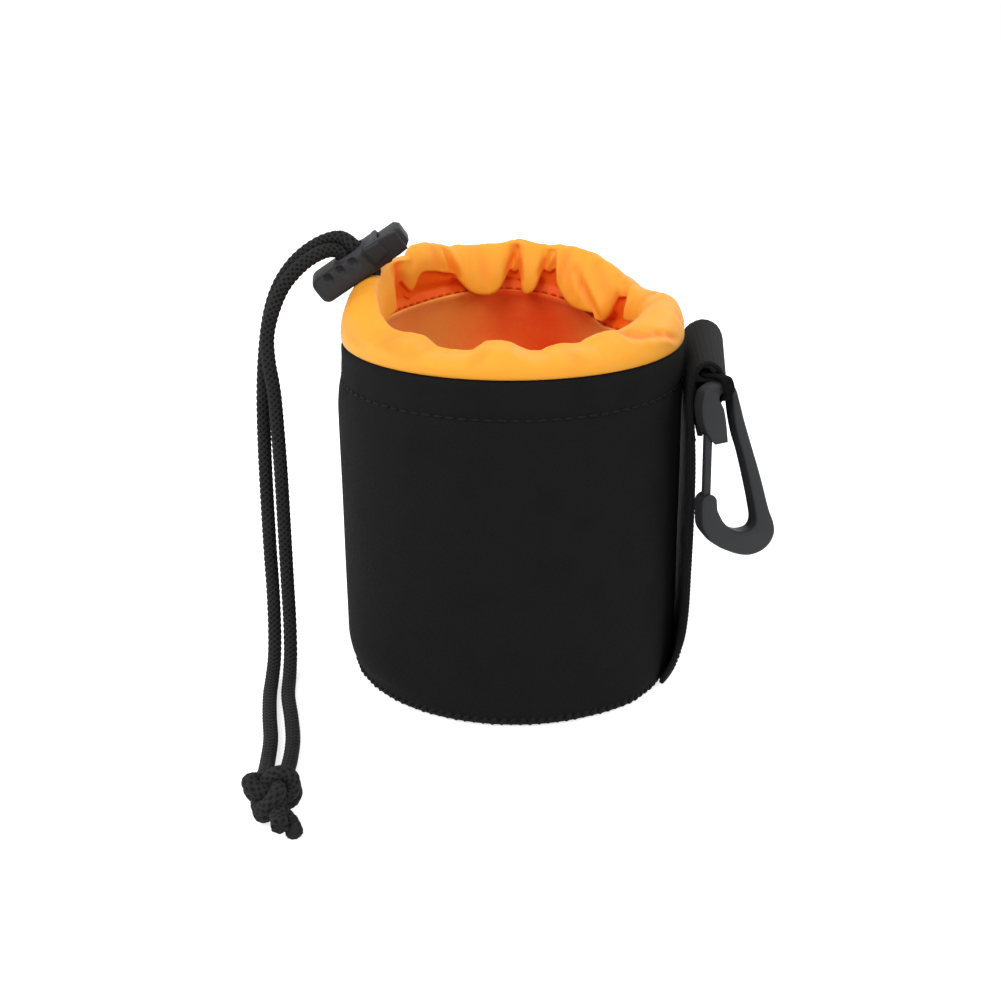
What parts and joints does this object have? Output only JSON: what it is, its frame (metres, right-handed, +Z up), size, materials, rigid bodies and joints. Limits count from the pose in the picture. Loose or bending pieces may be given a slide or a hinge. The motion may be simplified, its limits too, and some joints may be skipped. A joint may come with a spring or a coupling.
{
  "type": "drawstring lens pouch",
  "caption": "Soft round pouch with a gathered drawstring collar, a spring cord lock on its cord, a wide belt strap and a carabiner hung from the strap's rolled top.",
  "frame": {"origin": "centre of the base, on the surface the pouch stands on", "axes": "+Z up along the pouch's axis, +X toward the belt strap, -Y toward the viewer of the picture"},
  "size_m": [0.1516, 0.1573, 0.1342],
  "materials": {
    "neoprene": "matte knit-faced foam",
    "plush": "soft pile",
    "nylon": "smooth weave",
    "cord": "braid",
    "webbing": "ribbed weave",
    "thread": "overlock thread",
    "lock": "satin",
    "button": "satin",
    "clip": "satin",
    "steel": "bright wire"
  },
  "bodies": {
    "pouch": {"outer_wall": "neoprene", "base_panel": "neoprene", "base_seam_binding": "thread", "wall_lining": "plush", "base_lining": "plush", "collar": "nylon", "drawstring_hoop": "cord", "drawstring_tail_inner": "cord", "drawstring_tail_outer": "cord", "drawstring_knot": "cord", "drawstring_end_left": "cord", "drawstring_end_right": "cord", "belt_strap": "webbing", "hanger_loop": "webbing"},
    "cord_lock": {"cord_lock_body": "lock", "cord_lock_spring": "steel"},
    "lock_button": {"cord_lock_button": "button"},
    "carabiner": {"carabiner_frame": "clip", "carabiner_gate_pin": "steel"},
    "gate": {"carabiner_gate": "clip"}
  },
  "joints": [
    {"name": "lock_slide", "type": "slide", "parent": "pouch", "child": "cord_lock", "axis": [-0.5427, -0.2079, 0.8138], "range_m": [0, 0.005], "deforming": ["drawstring_tail_inner", "drawstring_tail_outer"]},
    {"name": "lock_button_press", "type": "slide", "parent": "cord_lock", "child": "lock_button", "axis": [-0.832, 0, -0.5548], "range_m": [0, 0.003], "stiffness_N_per_m": 300, "springref_m": -0.002, "deforming": ["cord_lock_spring"]},
    {"name": "carabiner_swing", "type": "hinge", "parent": "pouch", "child": "carabiner", "pos_m": [0.05729, -0.03096, 0.09525], "axis": [-0.9063, -0.4226, 0], "range_deg": [-5, 75], "deforming": ["hanger_loop"]},
    {"name": "gate_hinge", "type": "hinge", "parent": "carabiner", "child": "gate", "pos_m": [0.05421, -0.03239, 0.0622], "axis": [-0.4226, 0.9063, 0], "range_deg": [0, 15], "stiffness_Nm_per_rad": 0.02, "springref_deg": -17.19}
  ]
}
